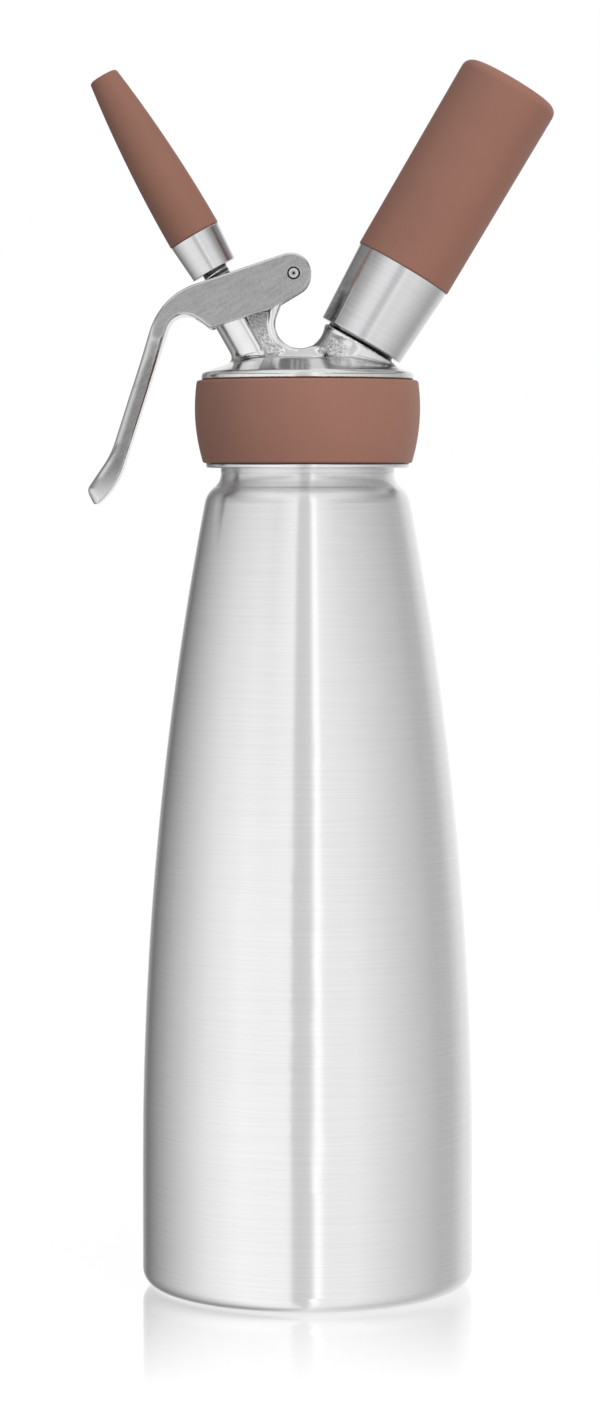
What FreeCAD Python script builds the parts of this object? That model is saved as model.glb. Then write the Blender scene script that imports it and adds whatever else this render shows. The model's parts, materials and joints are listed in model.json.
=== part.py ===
import FreeCAD, Part
import os
import re
from math import cos, pi, sin, tan

import Sketcher
from FreeCAD import Placement, Rotation, Vector

# Whipped cream dispenser, one litre, made of stainless steel with silicone grips.
#
# Frame: millimetres, +Z up, origin on the bottle's axis at the floor. The cream
# tip and the lever lean to -X, the charger holder leans to +X, and the whole
# object is mirrored in the plane Y = 0.
#
# Three axes meet at one point, the crossing, on the bottle's axis. Pieces on the
# tip's axis or the holder's axis are drawn upright, measured from the crossing,
# and their bodies are then leaned over.

# Driving sizes
#
# Lengths and radii in millimetres, angles in degrees. A name that ends in _at is
# a place on a piece's own axis, measured from the crossing.

SIZES = {
    # the leaning axes; the crossing lies above the neck's foot
    "crossing_rise": 12.2,
    "tip_lean": 30.0,
    "holder_lean": 30.5,
    # bottle
    "bottle_radius": 49.0,
    "bottle_wall": 1.0,
    "foot_edge_radius": 5.0,
    "foot_ring_width": 5.0,
    "foot_dish_depth": 2.5,
    "straight_height": 35.0,
    "shoulder_radius": 30.3,
    "shoulder_height": 232.2,
    "shoulder_edge_radius": 7.5,
    "shoulder_slope": 50.0,
    "neck_root_radius": 5.0,
    # threaded ring on the bottle's neck
    "neck_radius": 25.5,
    "neck_ring_wall": 1.3,
    "neck_ring_height": 21.2,
    "neck_lip": 0.9,
    # head gasket
    "gasket_thickness": 2.5,
    "gasket_width": 2.4,
    "gasket_tab_width": 8.0,
    "gasket_tab_length": 4.0,
    # head casting
    "skirt_gap": 1.5,
    "rim_radius": 29.9,
    "rim_height": 1.4,
    "rim_chamfer": 0.4,
    "band_core_radius": 28.6,
    "band_height": 24.4,
    "plate_radius": 31.3,
    "plate_height": 2.1,
    "plate_edge_radius": 0.9,
    "dome_height": 4.2,
    "dome_top_radius": 19.0,
    "dome_edge_radius": 5.0,
    "tube_root_radius": 2.0,
    "tube_radius": 8.2,
    "tube_top_at": 42.8,
    "boss_end_at": 7.0,
    "chamber_radius": 5.6,
    "chamber_depth": 6.0,
    "web_half": 7.8,
    "arc_radius": 7.25,
    "arc_across": 13.8,
    "arc_at": 28.4,
    "bead_width": 1.8,
    "pocket_wall": 0.8,
    "pocket_drop": 3.2,
    "lug_radius": 5.0,
    "lug_half": 8.4,
    "collar_radius": 12.8,
    "collar_top_at": 30.05,
    "collar_foot_at": 22.3,
    "stud_radius": 10.5,
    "stud_top_at": 46.0,
    "port_bore_radius": 4.9,
    "port_floor_at": 24.0,
    "gas_hole_radius": 1.5,
    # silicone band round the head
    "band_lower_radius": 31.0,
    "band_upper_radius": 32.7,
    "band_bulge_radius": 54.6,
    "band_edge_radius": 0.9,
    # lever and its pin
    "pivot_across": 19.5,
    "pivot_at": 41.9,
    "pin_radius": 1.6,
    "pin_fit": 0.01,
    "pin_dimple_radius": 0.8,
    "cheek_thickness": 2.2,
    "cheek_half_gap": 8.6,
    "lever_end_radius": 6.0,
    "lever_end_offset": 0.8,
    "lever_top_slope": 18.6,
    "lever_top_length": 38.1,
    "lever_web": 2.0,
    "lever_web_end": 10.0,
    "knee_radius": 21.0,
    "shank_lean": 17.8,
    "shank_length": 48.7,
    "shank_thickness": 4.7,
    "shank_half": 7.4,
    "flare_lean": 34.0,
    "flare_length": 12.4,
    "flare_radius": 24.0,
    "flare_inner_drop": 7.9,
    "pad_half": 9.2,
    "nose_lean": 24.0,
    "nose_length": 5.7,
    "arch_radius": 5.4,
    "arch_drop": 1.3,
    "fork_depth": 29.0,
    "cheek_corner_across": 24.1,
    "cheek_corner_drop": 16.1,
    "cheek_bend_across": 6.5,
    "cheek_bend_drop": 10.4,
    "cheek_tail_slope": 31.0,
    "rib_radius": 1.6,
    "stem_slot_half": 4.25,
    "stem_slot_slide": 1.9,
    "waist_drop": 17.0,
    "waist_length": 10.0,
    "pad_corner_radius": 6.0,
    "lever_edge_radius": 1.0,
    # dispensing valve
    "stem_radius": 3.8,
    "stem_bore_radius": 2.4,
    "stem_top_at": 60.5,
    "valve_flange_radius": 7.0,
    "seal_overhang": 0.2,
    "valve_flange_thickness": 1.6,
    "valve_seal_thickness": 2.6,
    "valve_port_radius": 1.5,
    "ring_groove_at": 20.0,
    "ring_groove_depth": 0.9,
    "collar_disc_radius": 6.4,
    "collar_disc_top_at": 48.5,
    "collar_disc_height": 1.8,
    "ring_groove_height": 1.5,
    "clip_groove_depth": 0.5,
    "clip_thickness": 0.8,
    "clip_radius": 4.9,
    # valve spring
    "spring_wire_radius": 0.5,
    "spring_radius": 5.0,
    "spring_turns": 5.0,
    "spring_clearance": 0.4,
    "spring_seat_at": 30.0,
    # cream tip
    "ferrule_foot_at": 54.7,
    "ferrule_height": 11.6,
    "ferrule_foot_radius": 6.9,
    "ferrule_top_radius": 7.8,
    "ferrule_socket_radius": 6.55,
    "ferrule_socket_depth": 6.1,
    "tip_seal_radius": 4.7,
    "tip_seal_thickness": 1.6,
    "nozzle_radius": 7.95,
    "nozzle_length": 53.6,
    "nozzle_curve_radius": 400.0,
    "nozzle_end_radius": 4.5,
    "nozzle_end_rounding": 1.0,
    "nozzle_inlet_radius": 4.0,
    "nozzle_outlet_radius": 2.4,
    # charger holder
    "holder_foot_at": 31.05,
    "holder_foot_radius": 13.2,
    "holder_steel_height": 24.2,
    "holder_steel_radius": 14.6,
    "sleeve_radius": 13.0,
    "sleeve_end_wall": 4.0,
    "grip_foot_radius": 14.95,
    "grip_top_radius": 15.4,
    "grip_length": 63.6,
    "grip_edge_radius": 3.0,
    "grip_crown": 0.7,
    # gas charger
    "charger_radius": 8.9,
    "charger_length": 65.5,
    "charger_wall": 1.0,
    "charger_neck_radius": 4.3,
    "charger_neck_length": 6.5,
    "charger_shoulder_length": 7.5,
    "charger_mouth_radius": 1.5,
    "charger_end_radius": 6.5,
    # piercing parts in the stud
    "charger_seat_at": 42.0,
    "charger_seal_thickness": 2.0,
    "pin_flange_thickness": 2.0,
    "needle_radius": 1.1,
    "needle_bore_radius": 0.5,
    "needle_point_wall": 0.1,
    "needle_length": 5.0,
    "needle_point_length": 2.0,
    "check_valve_thickness": 3.0,
    "bush_hole_radius": 1.5,
    # clearances
    "thread_clearance": 0.1,
    "running_clearance": 0.06,
    "seat_clearance": 0.05,
    "fine_edge": 0.4,
}

# Sizes that follow from others
#
# Each is a formula in the names above or in each other.

FORMULAS = {
    # bottle outline
    "curve_height": "shoulder_height - straight_height",
    "curve_depth": "bottle_radius - shoulder_radius",
    "body_curve_radius": "(curve_height ^ 2 + curve_depth ^ 2) / (2 * curve_depth)",
    "curve_sine": "curve_height / body_curve_radius",
    "curve_cosine": "sqrt(1 - curve_sine ^ 2)",
    "edge_centre_radius": "shoulder_radius - shoulder_edge_radius * curve_cosine",
    "edge_centre_height": "shoulder_height - shoulder_edge_radius * curve_sine",
    "root_centre_radius": "neck_radius + neck_root_radius",
    "slope_run": "(edge_centre_radius + shoulder_edge_radius * cos(shoulder_slope)"
    " - root_centre_radius + neck_root_radius * cos(shoulder_slope)) / sin(shoulder_slope)",
    "neck_foot": "edge_centre_height + (shoulder_edge_radius + neck_root_radius) * sin(shoulder_slope)"
    " + slope_run * cos(shoulder_slope)",
    "foot_outer": "bottle_radius - foot_edge_radius",
    "foot_inner": "foot_outer - foot_ring_width",
    "shell_neck_radius": "neck_radius - neck_ring_wall",
    "lip_top": "neck_foot + neck_ring_height",
    "crossing_height": "neck_foot + crossing_rise",
    # head
    "skirt_foot": "neck_foot + skirt_gap",
    "skirt_bore": "neck_radius + thread_clearance",
    "gasket_foot": "lip_top + seat_clearance",
    "head_seat": "gasket_foot + gasket_thickness + seat_clearance",
    "rim_top": "skirt_foot + rim_height",
    "plate_foot": "rim_top + band_height",
    "plate_top": "plate_foot + plate_height",
    "dome_top": "plate_top + dome_height",
    "guide_radius": "stem_radius + running_clearance",
    "spring_bore_radius": "spring_radius + spring_wire_radius + spring_clearance",
    "pocket_depth": "web_half - spring_bore_radius - pocket_wall",
    "arc_foot": "crossing_height + arc_across * sin(tip_lean) + arc_at * cos(tip_lean) - arc_radius",
    "arc_side": "arc_across * cos(tip_lean) - arc_at * sin(tip_lean)",
    # pivot, seen from the front
    "pivot_side": "pivot_across * cos(tip_lean) - pivot_at * sin(tip_lean)",
    "pivot_height": "crossing_height + pivot_across * sin(tip_lean) + pivot_at * cos(tip_lean)",
    "cheek_half": "cheek_half_gap + cheek_thickness",
    # lever outline, from the pivot
    "top_start_x": "0 - lever_end_offset - lever_end_radius * sin(lever_top_slope)",
    "top_start_z": "lever_end_radius * cos(lever_top_slope)",
    "knee_x": "top_start_x - lever_top_length * cos(lever_top_slope)",
    "knee_z": "top_start_z - lever_top_length * sin(lever_top_slope)",
    "flare_x": "knee_x - shank_length * sin(shank_lean)",
    "flare_z": "knee_z - shank_length * cos(shank_lean)",
    "toe_x": "flare_x - flare_length * sin(flare_lean)",
    "toe_z": "flare_z - flare_length * cos(flare_lean)",
    "inner_x": "shank_thickness * cos(shank_lean)",
    "inner_z": "0 - shank_thickness * sin(shank_lean)",
    "rib_at": "collar_disc_top_at + seat_clearance + rib_radius",
    "rib_x": "0 - pivot_across * cos(tip_lean) - (rib_at - pivot_at) * sin(tip_lean)",
    "rib_z": "(rib_at - pivot_at) * cos(tip_lean) - pivot_across * sin(tip_lean)",
    "web_under_x": "top_start_x + lever_web * sin(lever_top_slope)",
    "web_under_z": "top_start_z - lever_web * cos(lever_top_slope)",
    "web_end_x": "lever_web_end - pivot_across",
    # valve, from the crossing along the tip's axis
    "flange_top_at": "boss_end_at - valve_seal_thickness",
    "flange_foot_at": "flange_top_at - valve_flange_thickness",
    "disc_foot_at": "collar_disc_top_at - collar_disc_height",
    "clip_foot_at": "collar_disc_top_at - clip_thickness - seat_clearance",
    # cream tip
    "ferrule_top_at": "ferrule_foot_at + ferrule_height",
    "socket_floor_at": "ferrule_top_at - ferrule_socket_depth",
    "plug_radius": "ferrule_socket_radius - seat_clearance",
    "nozzle_foot_at": "ferrule_top_at + seat_clearance",
    "nozzle_end_at": "nozzle_foot_at + nozzle_length",
    "tip_seal_at": "stem_top_at + seat_clearance",
    "nozzle_seat_at": "tip_seal_at + tip_seal_thickness + seat_clearance",
    # charger holder, from the crossing along its own axis
    "holder_steel_top_at": "holder_foot_at + holder_steel_height",
    "grip_top_at": "holder_steel_top_at + seat_clearance + grip_length",
    "charger_end_at": "charger_seat_at + charger_length",
    "sleeve_floor_at": "charger_end_at + seat_clearance",
    "sleeve_top_at": "sleeve_floor_at + sleeve_end_wall",
    "holder_bore_radius": "stud_radius + thread_clearance",
    "charger_bore_radius": "charger_radius + 4 * thread_clearance",
    "pin_flange_top_at": "charger_seat_at - charger_seal_thickness - 2 * seat_clearance",
    "pin_flange_foot_at": "pin_flange_top_at - pin_flange_thickness",
    "port_fit_radius": "port_bore_radius - seat_clearance",
    "bush_foot_at": "port_floor_at + check_valve_thickness + 2 * seat_clearance",
}

doc = FreeCAD.newDocument("cream_dispenser")
sheet = doc.addObject("Spreadsheet::Sheet", "Sizes")
for row, (alias, size) in enumerate(SIZES.items(), start=1):
    sheet.set("A%d" % row, alias)
    sheet.set("B%d" % row, str(size))
    sheet.setAlias("B%d" % row, alias)
doc.recompute()


# Formulas and places


def spelled(formula):
    """Spell a formula out in cells of the sheet, for setExpression."""

    def spell(match):
        word = match.group(0)
        if word in FORMULAS:
            return "(" + spelled(FORMULAS[word]) + ")"
        if word in SIZES:
            return "Sizes." + word
        return word

    return re.sub(r"[a-z][a-z_]*", spell, formula)


def worth(formula):
    """Work a formula out, as a plain number."""
    answer = sheet.evalExpression(spelled(formula))
    return float(getattr(answer, "Value", answer))


def bind(thing, property_name, formula):
    """Tie a property to cells of the sheet."""
    thing.setExpression(property_name, spelled(formula))


def new_body(label):
    """Start a piece that is drawn in the object's own frame."""
    body = doc.addObject("PartDesign::Body", label)
    body.Label = label
    return body


def lean(thing, angle, height="crossing_height"):
    """Stand a piece at the crossing and lean it over in the XZ plane."""
    thing.Placement = Placement(Vector(), Rotation(Vector(0, 1, 0), 1))
    bind(thing, "Placement.Rotation.Angle", angle)
    bind(thing, "Placement.Base.z", height)


TIP_ANGLE = "0 - tip_lean"
HOLDER_ANGLE = "holder_lean"


# Sketches


def new_sketch(body, name, role="XZ_Plane"):
    """Lay an empty sketch on one of the body's own planes."""
    sketch = body.newObject("Sketcher::SketchObject", name)
    plane = next(each for each in body.Origin.OriginFeatures if each.Role == role)
    sketch.AttachmentSupport = (plane, [""])
    sketch.MapMode = "FlatFace"
    return sketch


def turn_sketch(sketch, angle, height):
    """Turn a sketch in its plane, about a point on its vertical axis."""
    sketch.AttachmentOffset = Placement(Vector(), Rotation(Vector(0, 0, 1), 1))
    bind(sketch, "AttachmentOffset.Rotation.Angle", angle)
    bind(sketch, "AttachmentOffset.Base.y", height)


def hold(sketch, geometry, end, across, up):
    """Fix one point of a sketch by two formulas."""
    for kind, formula in (("DistanceX", across), ("DistanceY", up)):
        rule = Sketcher.Constraint(kind, -1, 1, geometry, end, worth(formula))
        number = sketch.addConstraint(rule)
        bind(sketch, "Constraints[%d]" % number, formula)


def hold_radius(sketch, geometry, formula):
    """Fix the radius of an arc or a circle."""
    number = sketch.addConstraint(Sketcher.Constraint("Radius", geometry, worth(formula)))
    bind(sketch, "Constraints[%d]" % number, formula)


def arc_geometry(start, end, radius, leftward):
    """The arc from start to end, turning left or right, and its start's end number."""
    chord = end - start
    middle = (start + end) * 0.5
    side = Vector(-chord.y, chord.x, 0).normalize()
    depth = max(radius**2 - (chord.Length / 2) ** 2, 0.0) ** 0.5
    centre = middle + side * (depth if leftward else -depth)
    first, last = (start, end) if leftward else (end, start)
    circle = Part.Circle(centre, Vector(0, 0, 1), radius)
    arc = Part.ArcOfCircle(circle, circle.parameter(first), circle.parameter(last))
    return arc, (1 if leftward else 2)


def draw(sketch, outline):
    """Close an outline in a sketch.

    A corner is (across, up), (across, up, radius) where it is rounded, or
    (across, up, radius, "left" or "right") where an arc that turns that way
    leads to it from the corner before.
    """
    count = len(outline)
    spots = [Vector(worth(corner[0]), worth(corner[1]), 0) for corner in outline]
    trims = [0.0] * count
    for index in range(count):
        if len(outline[index]) == 3:
            before = (spots[index - 1] - spots[index]).normalize()
            after = (spots[(index + 1) % count] - spots[index]).normalize()
            half = before.getAngle(after) / 2
            trims[index] = worth(outline[index][2]) / tan(half)
    pieces = []
    for index in range(count):
        following = (index + 1) % count
        start, end = spots[index], spots[following]
        along = (end - start).normalize()
        corner = outline[following]
        if len(corner) == 4:
            arc, first = arc_geometry(start, end, worth(corner[2]), corner[3] == "left")
            number = sketch.addGeometry(arc, False)
            hold_radius(sketch, number, corner[2])
            pieces.append((number, first, 3 - first))
        else:
            line = Part.LineSegment(start + along * trims[index], end - along * trims[following])
            pieces.append((sketch.addGeometry(line, False), 1, 2))
    for index in range(count):
        join(sketch, pieces[index - 1], pieces[index], outline[index], spots[index])


def join(sketch, before, after, corner, spot):
    """Join two pieces of an outline at a sharp or a rounded corner."""
    if len(corner) != 3:
        sketch.addConstraint(Sketcher.Constraint("Coincident", before[0], before[2], after[0], after[1]))
        hold(sketch, after[0], after[1], corner[0], corner[1])
        return
    incoming = sketch.Geometry[before[0]]
    outgoing = sketch.Geometry[after[0]]
    start, end = incoming.EndPoint, outgoing.StartPoint
    heading = (end - start).cross(spot - start).z
    arc, first = arc_geometry(start, end, worth(corner[2]), heading < 0)
    number = sketch.addGeometry(arc, False)
    sketch.addConstraint(Sketcher.Constraint("Tangent", before[0], before[2], number, first))
    sketch.addConstraint(Sketcher.Constraint("Tangent", number, 3 - first, after[0], after[1]))
    hold_radius(sketch, number, corner[2])
    mark = sketch.addGeometry(Part.Point(spot), True)
    sketch.addConstraint(Sketcher.Constraint("PointOnObject", mark, 1, before[0]))
    sketch.addConstraint(Sketcher.Constraint("PointOnObject", mark, 1, after[0]))
    hold(sketch, mark, 1, corner[0], corner[1])


def draw_circle(sketch, across, up, radius):
    """Draw a circle in a sketch."""
    spot = Vector(worth(across), worth(up), 0)
    number = sketch.addGeometry(Part.Circle(spot, Vector(0, 0, 1), worth(radius)), False)
    hold(sketch, number, 3, across, up)
    hold_radius(sketch, number, radius)


# Features


def revolve(body, name, outline, cut=False):
    """Turn an outline of (radius, height) corners about the body's upright axis."""
    sketch = new_sketch(body, name + "_outline")
    draw(sketch, outline)
    feature = body.newObject("PartDesign::Groove" if cut else "PartDesign::Revolution", name)
    feature.Profile = sketch
    feature.ReferenceAxis = (sketch, ["V_Axis"])
    feature.Angle = 360
    return feature


def extrude(body, name, sketch, thickness, cut=False):
    """Pad or pocket a sketch equally to both sides of its plane."""
    feature = body.newObject("PartDesign::Pocket" if cut else "PartDesign::Pad", name)
    feature.Profile = sketch
    feature.SideType = "Symmetric"
    bind(feature, "Length", thickness)
    return feature


def round_edges(body, name, radius, wanted):
    """Round the edges of a piece that a test picks out."""
    doc.recompute()
    base = body.Tip
    names = ["Edge%d" % number for number, edge in enumerate(base.Shape.Edges, start=1) if wanted(edge)]
    feature = body.newObject("PartDesign::Fillet", name)
    feature.Base = (base, names)
    bind(feature, "Radius", radius)
    return feature


def lies_on_cylinder(edge, angle, radius):
    """Test whether an edge lies on a cylinder about one of the leaning axes."""
    turn = worth(angle) * pi / 180
    axis = Vector(sin(turn), 0, cos(turn))
    crossing = Vector(0, 0, worth("crossing_height"))
    gaps = [(spot - crossing).cross(axis).Length - worth(radius) for spot in edge.discretize(9)]
    return max(abs(gap) for gap in gaps) < worth("seat_clearance")


def leaning_cylinder(body, name, angle, foot, top, radius, cut=False):
    """Add or cut a cylinder on one of the leaning axes, between two places on it."""
    kind = "PartDesign::SubtractiveCylinder" if cut else "PartDesign::AdditiveCylinder"
    feature = body.newObject(kind, name)
    lean(feature, angle, "crossing_height + (%s) * cos(%s)" % (foot, angle))
    bind(feature, "Placement.Base.x", "(%s) * sin(%s)" % (foot, angle))
    bind(feature, "Radius", radius)
    bind(feature, "Height", "(%s) - (%s)" % (top, foot))
    return feature


def cross_cylinder(body, name, across, up, radius, half, cut=False):
    """Add or cut a cylinder that lies along Y."""
    sketch = new_sketch(body, name + "_outline")
    draw_circle(sketch, across, up, radius)
    return extrude(body, name, sketch, "2 * (%s)" % half, cut)


# Bottle


def make_bottle_shell():
    """Deep-drawn bottle: dished foot, long tapering wall, shoulder and bare neck."""
    body = new_body("bottle_shell")
    outline = [
        ("0", "foot_dish_depth"),
        ("foot_inner - foot_dish_depth", "foot_dish_depth"),
        ("foot_inner", "0"),
        ("foot_outer", "0"),
        ("bottle_radius", "foot_edge_radius", "foot_edge_radius", "left"),
        ("bottle_radius", "straight_height"),
        ("shoulder_radius", "shoulder_height", "body_curve_radius", "left"),
        edge_point("shoulder_edge_radius", "shoulder_edge_radius", "left"),
        root_point("neck_root_radius"),
        ("neck_radius", "neck_foot", "neck_root_radius", "right"),
        ("shell_neck_radius", "neck_foot"),
        ("shell_neck_radius", "lip_top - neck_lip - seat_clearance"),
        ("shell_neck_radius - bottle_wall", "lip_top - neck_lip - seat_clearance"),
        ("shell_neck_radius - bottle_wall", "neck_foot - neck_ring_wall"),
        root_point("neck_root_radius + bottle_wall"),
        edge_point("shoulder_edge_radius - bottle_wall"),
        (
            "shoulder_radius - bottle_wall * curve_cosine",
            "shoulder_height - bottle_wall * curve_sine",
            "shoulder_edge_radius - bottle_wall",
            "right",
        ),
        ("bottle_radius - bottle_wall", "straight_height", "body_curve_radius - bottle_wall", "right"),
        ("bottle_radius - bottle_wall", "foot_edge_radius"),
        ("foot_outer", "bottle_wall", "foot_edge_radius - bottle_wall", "right"),
        ("foot_inner", "bottle_wall"),
        ("foot_inner - foot_dish_depth", "foot_dish_depth + bottle_wall"),
        ("0", "foot_dish_depth + bottle_wall"),
    ]
    revolve(body, "drawn_shell", outline)
    return body


def edge_point(radius, *arc):
    """The end of the shoulder's rounded edge, at a radius about its centre."""
    across = "edge_centre_radius + (%s) * cos(shoulder_slope)" % radius
    up = "edge_centre_height + (%s) * sin(shoulder_slope)" % radius
    return (across, up) + arc


def root_point(radius, *arc):
    """The start of the hollow at the neck's root, at a radius about its centre."""
    across = "root_centre_radius - (%s) * cos(shoulder_slope)" % radius
    up = "neck_foot - (%s) * sin(shoulder_slope)" % radius
    return (across, up) + arc


def make_neck_ring():
    """Threaded ring that is brazed on the neck, its lip over the shell's edge."""
    body = new_body("neck_ring")
    bore = "shell_neck_radius + seat_clearance"
    revolve(body, "threaded_ring", [
        (bore, "neck_foot + seat_clearance"),
        ("neck_radius", "neck_foot + seat_clearance"),
        ("neck_radius", "lip_top", "neck_lip / 2"),
        ("shell_neck_radius - bottle_wall", "lip_top"),
        ("shell_neck_radius - bottle_wall", "lip_top - neck_lip"),
        (bore, "lip_top - neck_lip"),
    ])
    return body


# Head


def make_head_gasket():
    """Flat sealing ring between the bottle's lip and the head, with a pull tab."""
    body = new_body("head_gasket")
    outer = "neck_radius - seat_clearance"
    revolve(body, "gasket_ring", [
        ("neck_radius - gasket_width", "gasket_foot"),
        (outer, "gasket_foot"),
        (outer, "gasket_foot + gasket_thickness"),
        ("neck_radius - gasket_width", "gasket_foot + gasket_thickness"),
    ])
    sketch = new_sketch(body, "tab_outline", "YZ_Plane")
    draw(sketch, [
        ("0 - gasket_tab_width / 2", "gasket_foot"),
        ("gasket_tab_width / 2", "gasket_foot"),
        ("gasket_tab_width / 2", "gasket_foot + gasket_thickness / 2"),
        ("0 - gasket_tab_width / 2", "gasket_foot + gasket_thickness / 2"),
    ])
    bind(sketch, "AttachmentOffset.Base.z", "neck_radius - gasket_width - gasket_tab_length / 2")
    extrude(body, "pull_tab", sketch, "gasket_tab_length + gasket_width / 2")
    return body


def make_head():
    """Head casting: screw cap, leaning tube, charger stud, web and lever lug."""
    body = new_body("head")
    revolve(body, "cap", [
        ("0", "head_seat"),
        ("skirt_bore", "head_seat"),
        ("skirt_bore", "skirt_foot"),
        ("rim_radius - rim_chamfer", "skirt_foot"),
        ("rim_radius", "skirt_foot + rim_chamfer"),
        ("rim_radius", "rim_top"),
        ("band_core_radius", "rim_top"),
        ("band_core_radius", "plate_foot"),
        ("plate_radius", "plate_foot"),
        ("plate_radius", "plate_top", "plate_edge_radius"),
        ("dome_top_radius", "dome_top", "dome_edge_radius"),
        ("0", "dome_top"),
    ])
    low, high = worth("plate_foot"), worth("dome_top") + worth("seat_clearance")
    leaning_cylinder(body, "tube", TIP_ANGLE, "boss_end_at", "tube_top_at", "tube_radius")
    round_edges(body, "tube_root", "tube_root_radius", lambda edge: (
        lies_on_cylinder(edge, TIP_ANGLE, "tube_radius")
        and not edge.isClosed()
        and low < edge.BoundBox.ZMin
        and edge.BoundBox.ZMax < high
    ))
    leaning_cylinder(
        body, "port_collar", HOLDER_ANGLE, "collar_foot_at", "collar_top_at", "collar_radius"
    )
    leaning_cylinder(body, "charger_stud", HOLDER_ANGLE, "collar_foot_at", "stud_top_at", "stud_radius")
    add_web(body)
    cut_head_bores(body)
    return body


def add_web(body):
    """Web between the tube and the port: a round-edged arc, side pockets and the lug."""
    saddle = new_sketch(body, "saddle_outline")
    draw(saddle, [
        ("0 - dome_top_radius / 2", "plate_top"),
        ("arc_side + arc_radius", "plate_top"),
        ("arc_side + arc_radius", "arc_foot + seat_clearance"),
        ("0 - dome_top_radius / 2", "arc_foot + seat_clearance"),
    ])
    extrude(body, "saddle", saddle, "2 * web_half")
    web = new_sketch(body, "web_outline")
    turn_sketch(web, "tip_lean", "crossing_height")
    draw(web, [
        ("0", "tube_radius * 2"),
        ("arc_across", "tube_radius * 2"),
        ("arc_across", "arc_at"),
        ("arc_across - arc_radius * cos(55)", "arc_at + arc_radius * sin(55)"),
        ("arc_across - 1", "pivot_at - lug_radius", "2"),
        ("pivot_across", "pivot_at - lug_radius"),
        ("pivot_across", "pivot_at"),
        ("pivot_across - lug_radius * sin(20)", "pivot_at + lug_radius * cos(20)"),
        ("tube_radius + 1", "tube_top_at", "3"),
        ("0", "tube_top_at"),
    ])
    extrude(body, "web", web, "2 * web_half")
    cross_cylinder(body, "lug", "pivot_side", "pivot_height", "lug_radius", "lug_half")
    cross_cylinder(
        body, "arc", "arc_side", "arc_foot + arc_radius", "arc_radius", "2 * tube_radius", cut=True
    )
    for name, side in (("front_pocket", "0 - web_half"), ("rear_pocket", "web_half")):
        pocket = new_sketch(body, name + "_outline")
        turn_sketch(pocket, "tip_lean", "crossing_height")
        draw_pocket(pocket)
        bind(pocket, "AttachmentOffset.Base.z", side)
        extrude(body, name, pocket, "2 * pocket_depth", cut=True)


def draw_pocket(sketch):
    """Side pocket of the web, bounded by the tube and by the bead along the arc."""
    bead = "(arc_radius + bead_width)"
    draw(sketch, [
        ("bead_width / 2", "arc_at - pocket_drop"),
        ("arc_across - %s * cos(35)" % bead, "arc_at - %s * sin(35)" % bead),
        ("arc_across - %s * cos(45)" % bead, "arc_at + %s * sin(45)" % bead, bead, "right"),
        ("pivot_across - 2 * lug_radius", "tube_top_at - 2 * bead_width"),
        ("bead_width / 2", "tube_top_at - 2 * bead_width"),
    ])


def cut_head_bores(body):
    """Bores on the two leaning axes, and the hole for the lever's pin."""
    leaning_cylinder(
        body, "stem_guide", TIP_ANGLE, "boss_end_at - 1", "tube_top_at + 1", "guide_radius", cut=True
    )
    leaning_cylinder(
        body, "inlet_chamber", TIP_ANGLE, "boss_end_at - 1",
        "boss_end_at + chamber_depth", "chamber_radius", cut=True,
    )
    leaning_cylinder(
        body, "spring_bore", TIP_ANGLE, "spring_seat_at", "tube_top_at + 1", "spring_bore_radius", cut=True
    )
    leaning_cylinder(
        body, "port_bore", HOLDER_ANGLE, "port_floor_at", "stud_top_at + 1", "port_bore_radius", cut=True
    )
    leaning_cylinder(
        body, "gas_hole", HOLDER_ANGLE, "port_floor_at / 2", "port_floor_at + 1", "gas_hole_radius", cut=True
    )
    cross_cylinder(
        body, "pin_hole", "pivot_side", "pivot_height", "pin_radius + pin_fit", "2 * lug_half", cut=True
    )


def make_head_grip_ring():
    """Silicone band in the groove round the head, bulging, with rounded edges."""
    body = new_body("head_grip_ring")
    bore = "band_core_radius + seat_clearance"
    foot = "rim_top + seat_clearance"
    top = "plate_foot - seat_clearance"
    revolve(body, "band", [
        (bore, foot),
        ("band_lower_radius - band_edge_radius", foot),
        ("band_lower_radius", foot + " + band_edge_radius", "band_edge_radius", "left"),
        ("band_upper_radius", top + " - band_edge_radius", "band_bulge_radius", "left"),
        ("band_upper_radius - band_edge_radius", top, "band_edge_radius", "left"),
        (bore, top),
    ])
    return body


# Lever


def make_lever():
    """Forked lever: two cheeks and a web round the valve stem, and a curved shank."""
    body = new_body("lever")
    bind(body, "Placement.Base.x", "pivot_side")
    bind(body, "Placement.Base.z", "pivot_height")
    outline = new_sketch(body, "lever_outline")
    draw(outline, [
        ("top_start_x", "top_start_z"),
        ("knee_x", "knee_z", "knee_radius"),
        ("flare_x", "flare_z", "flare_radius"),
        ("toe_x", "toe_z", "nose_length * 0.4"),
        ("toe_x + nose_length * sin(nose_lean)", "toe_z - nose_length * cos(nose_lean)", "nose_length * 0.2"),
        (
            "flare_x + inner_x - flare_inner_drop * sin(shank_lean)",
            "flare_z + inner_z - flare_inner_drop * cos(shank_lean)",
            "flare_radius",
        ),
        (
            "knee_x + inner_x - arch_drop * sin(shank_lean)",
            "knee_z + inner_z - arch_drop * cos(shank_lean)",
            "arch_radius",
        ),
        ("0 - cheek_corner_across", "0 - cheek_corner_drop", "1"),
        ("0 - cheek_bend_across", "0 - cheek_bend_drop", "8"),
        (
            "lever_end_radius * sin(cheek_tail_slope) - lever_end_offset",
            "0 - lever_end_radius * cos(cheek_tail_slope)",
        ),
    ])
    extrude(body, "lever_bar", outline, "2 * cheek_half")
    cross_cylinder(body, "lever_end", "0 - lever_end_offset", "0", "lever_end_radius", "cheek_half")
    narrow_shank(body)
    round_edges(body, "edge_rounding", "lever_edge_radius", runs_along_side)
    cut_fork(body)
    return body


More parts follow.
